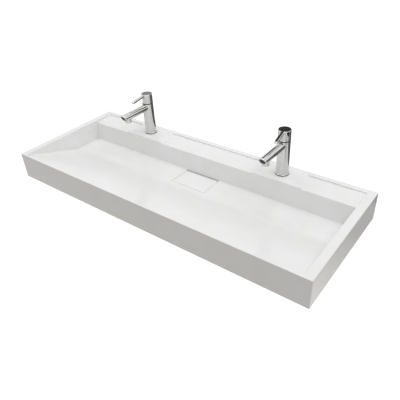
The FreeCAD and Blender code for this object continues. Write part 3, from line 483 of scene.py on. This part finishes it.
world = bpy.data.worlds.new("white_studio")
bpy.context.scene.world = world
world.use_nodes = True
tree = world.node_tree
tree.nodes.clear()
levels = {"Value": seen_directly(tree), "To Min": FILL_LEVEL, "To Max": SEEN_LEVEL}
strength = add_node(tree, "ShaderNodeMapRange", levels).outputs[0]
sky = add_node(tree, "ShaderNodeBackground", {"Color": linear("FFFFFF"), "Strength": strength})
add_node(tree, "ShaderNodeOutputWorld", {"Surface": sky.outputs[0]})
print("surroundings light at", FILL_LEVEL, "and show at", SEEN_LEVEL)

# %% Soft boxes
def soft_box(name, width, depth, energy, place, target):
    """Rectangular area light, aimed at a point."""
    lamp = bpy.data.lights.new(name, "AREA")
    lamp.shape = "RECTANGLE"
    lamp.size = width
    lamp.size_y = depth
    lamp.energy = energy
    box = bpy.data.objects.new(name, lamp)
    bpy.context.scene.collection.objects.link(box)
    box.location = place
    aim = Vector(target) - box.location
    box.rotation_euler = aim.to_track_quat("-Z", "Y").to_euler()
    box.visible_camera = False
    print(name, width, "by", depth)


soft_box(
    "soft_box", width=2.4, depth=2.0, energy=23.0,
    place=(0.8, -0.2, 2.1), target=(0, -0.25, 0),
)
soft_box(
    "small_box", width=0.9, depth=0.9, energy=3.5,
    place=(-0.6, -0.2, 1.4), target=(-0.6, -0.25, 0),
)

# %% [markdown]
# Chrome shows nothing but its surroundings, and in an all-white studio it turns as white as the slab.
# Photographers hang dull cards, called flags, where the metal should go dark: the darker the card, the
# darker the band. Two near cards darken the flat tops of the caps, the one to the right darkens the side
# of the nearer cap, and the ones low behind and far behind draw the bands along the columns and spouts.
# The cards on the ground shade the right end of the slab, whose gloss mirrors the floor. The nearer of
# them thickens like a net from clear to dull, so that the shade comes in softly. All are seen by
# mirrored rays alone, so they take no light from the basin.

# %% Cards
def card(name, colour):
    """Plain dull card of one colour."""
    material, tree = new_tree(name)
    dull = add_node(tree, "ShaderNodeBsdfDiffuse", {"Color": linear(colour)})
    add_node(tree, "ShaderNodeOutputMaterial", {"Surface": dull.outputs[0]})
    return material


def net_card(name, colour, start, stop):
    """Card that thickens from clear to dull between two places along Y."""
    material, tree = new_tree(name)
    place = add_node(tree, "ShaderNodeTexCoord").outputs["Object"]
    along = add_node(tree, "ShaderNodeSeparateXYZ", {"Vector": place}).outputs["Y"]
    reach = {"Value": along, "From Min": start, "From Max": stop}
    share = add_node(tree, "ShaderNodeMapRange", reach).outputs["Result"]
    clear = add_node(tree, "ShaderNodeBsdfTransparent").outputs[0]
    dull = add_node(tree, "ShaderNodeBsdfDiffuse", {"Color": linear(colour)}).outputs[0]
    mixed = add_node(tree, "ShaderNodeMixShader", {0: share, 1: clear, 2: dull})
    add_node(tree, "ShaderNodeOutputMaterial", {"Surface": mixed.outputs[0]})
    return material


dark_card = card("dark_card", "505050")
grey_card = card("grey_card", "909090")
pale_card = card("pale_card", "C4C4C4")
net = net_card("net_card", "C4C4C4", start=0.22, stop=0.9)
print("made", dark_card.name, grey_card.name, pale_card.name, net.name)

# %% Flags
GROUND = FLOOR_HEIGHT + 0.01  # cards lie just above the floor
flags = [
    panel("flag_right_cap", (0.05, 0.35, 0.54), (0.11, 0, 0), (0, 0, 0.16), dark_card),
    panel("flag_left_cap", (-0.71, 0.35, 0.445), (0.08, 0, 0), (0, 0, 0.07), pale_card),
    panel("flag_low_behind", (0, 0.08, -0.37), (0.6, 0, 0), (0, 0, 0.42), grey_card),
    panel("flag_far", (1.65, 1.6, -0.25), (1.35, 0, 0), (0, 0, 0.6), grey_card),
    panel("flag_right", (1.8, -0.2, -0.5), (0, 0.9, 0), (0, 0, 0.34), dark_card),
    panel("ground_far", (1.25, 2.125, GROUND), (1.75, 0, 0), (0, 0.875, 0), dark_card),
    panel("ground_near", (1.25, 0.725, GROUND), (1.75, 0, 0), (0, 0.525, 0), net),
]
for flag in flags:
    flag.visible_camera = False
    flag.visible_diffuse = False
    flag.visible_shadow = False
    flag.visible_transmission = False
    flag.visible_volume_scatter = False
print(len(flags), "flags")

# %% [markdown]
# ## Camera
# The camera stands to the right of the basin, above the front edge, and is turned a little about its own
# line of sight, as the leaning edges of the photograph show. Its place and focal length were solved from
# the corners of the slab, so they are set as numbers.

# %% Camera
camera_data = bpy.data.cameras.new("camera")
camera_data.sensor_width = 36
camera_data.lens = 40.386
camera = bpy.data.objects.new("camera", camera_data)
bpy.context.scene.collection.objects.link(camera)
camera_place = Vector((0.882667, -1.224784, 0.857741))
right = Vector((0.7970023, 0.6019907, -0.0489337))
down = Vector((0.3124356, -0.4802690, -0.8195888))
ahead = Vector((-0.5168861, 0.6379255, -0.5708588))
turned = Matrix((right, -down, -ahead)).transposed().to_4x4()
camera.matrix_world = Matrix.Translation(camera_place) @ turned
bpy.context.scene.camera = camera
bpy.context.scene.view_settings.view_transform = "Standard"
print("camera at", [round(c, 3) for c in camera_place])
